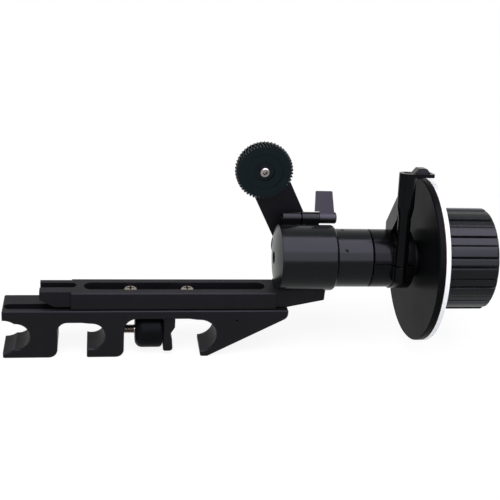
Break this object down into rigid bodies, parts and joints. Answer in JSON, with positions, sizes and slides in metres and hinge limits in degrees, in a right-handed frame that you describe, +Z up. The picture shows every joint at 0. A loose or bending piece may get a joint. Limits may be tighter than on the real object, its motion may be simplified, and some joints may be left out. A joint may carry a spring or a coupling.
{
  "type": "follow focus unit",
  "caption": "Follow focus for camera rods: slotted rod bracket, sliding bar, right-angle gearbox, swinging gear arm, marking disc with pointer and large grip knob.",
  "frame": {"origin": "axis of the middle rod seat, at the middle of the rod bracket's depth", "axes": "+X along the bracket towards the focus knob, +Y along the support rods towards the rear, where the lens gear sits, +Z up"},
  "size_m": [0.2631, 0.091, 0.1163],
  "materials": {
    "anodised_black": "satin black anodised",
    "knob_black": "fine satin black anodised",
    "end_cap_grey": "turned, dark grey anodised",
    "gear_acetal": "matt black acetal",
    "screw_steel": "bright machine screws",
    "screw_black": "black oxide",
    "shaft_steel": "ground shaft steel",
    "bearing_steel": "polished bearing rings",
    "bevel_brass": "machined",
    "bush_bronze": "sintered bronze",
    "belt_rubber": "matt",
    "ring_white": "smooth white marking surface"
  },
  "bodies": {
    "bracket": {"rod_bracket": "anodised_black", "slide_screws": "screw_steel"},
    "shoe": {"clamp_shoe": "anodised_black", "shoe_pins": "screw_steel"},
    "clamp_knob": {"clamp_screw": "screw_steel", "clamp_knob": "knob_black"},
    "bar": {"slide_bar": "anodised_black", "foot_screws": "screw_black", "gearbox_housing": "anodised_black", "gearbox_end_cap": "end_cap_grey", "neck_tube": "anodised_black", "neck_set_screws": "screw_black", "retaining_ring": "screw_black", "input_bearing_left": "bearing_steel", "input_bearing_right": "bearing_steel", "lock_nut": "screw_black"},
    "lever": {"lock_lever": "anodised_black", "lock_bolt": "screw_black"},
    "arm": {"arm_housing": "anodised_black", "arm_cover": "anodised_black", "cover_screws": "screw_black", "output_bearing": "bearing_steel", "output_bush": "bush_bronze", "gear_bush_front": "bush_bronze", "gear_bush_rear": "bush_bronze", "drive_belt": "belt_rubber"},
    "output": {"output_shaft": "shaft_steel", "output_bevel": "bevel_brass", "lower_pulley": "gear_acetal"},
    "gear": {"gear_shaft": "shaft_steel", "upper_pulley": "gear_acetal", "drive_gear": "gear_acetal", "gear_screw": "screw_steel"},
    "pointer": {"pointer_carrier": "anodised_black", "carrier_screw": "screw_steel", "pointer_block": "anodised_black", "block_screw": "screw_black"},
    "focus": {"input_shaft": "shaft_steel", "input_bevel": "bevel_brass", "bevel_spacer": "shaft_steel", "hub_spacer": "shaft_steel", "focus_disc": "anodised_black", "marking_ring": "ring_white", "knob_hub": "anodised_black", "focus_knob": "knob_black", "knob_end_plate": "knob_black", "end_plate_screws": "screw_black", "hub_screws": "screw_black"}
  },
  "joints": [
    {"name": "bar_slide", "type": "slide", "parent": "bracket", "child": "bar", "axis": [1, 0, 0], "range_m": [-0.038, 0.0195]},
    {"name": "clamp_travel", "type": "slide", "parent": "bracket", "child": "shoe", "axis": [1, 0, 0], "range_m": [-0.0016, 0.008]},
    {"name": "clamp_turn", "type": "hinge", "parent": "shoe", "child": "clamp_knob", "pos_m": [0.031, 0, -0.0006], "axis": [1, 0, 0], "range_deg": [-720, 3600]},
    {"name": "lever_turn", "type": "hinge", "parent": "bar", "child": "lever", "pos_m": [0.129, 0.015, 0.0605], "axis": [1, 0, 0], "range_deg": [0, 50]},
    {"name": "arm_swing", "type": "hinge", "parent": "bar", "child": "arm", "pos_m": [0.1143, 0.0235, 0.043], "axis": [0, 1, 0], "range_deg": [-60, 30]},
    {"name": "pointer_turn", "type": "hinge", "parent": "bar", "child": "pointer", "pos_m": [0.162, 0, 0.043], "axis": [1, 0, 0], "range_deg": [-40, 40]},
    {"name": "focus_turn", "type": "hinge", "parent": "bar", "child": "focus", "pos_m": [0.19, 0, 0.043], "axis": [1, 0, 0], "continuous": true},
    {"name": "output_turn", "type": "hinge", "parent": "bar", "child": "output", "pos_m": [0.1143, 0.02, 0.043], "axis": [0, 1, 0], "continuous": true},
    {"name": "gear_turn", "type": "hinge", "parent": "arm", "child": "gear", "pos_m": [0.09159, 0.0155, 0.08777], "axis": [0, 1, 0], "continuous": true}
  ],
  "couplings": [
    {"joint": "clamp_turn", "follows": "clamp_travel", "rad_per_m": 7854},
    {"joint": "output_turn", "follows": "focus_turn", "ratio": -1},
    {"joint": "gear_turn", "follows": "focus_turn", "ratio": -1}
  ]
}
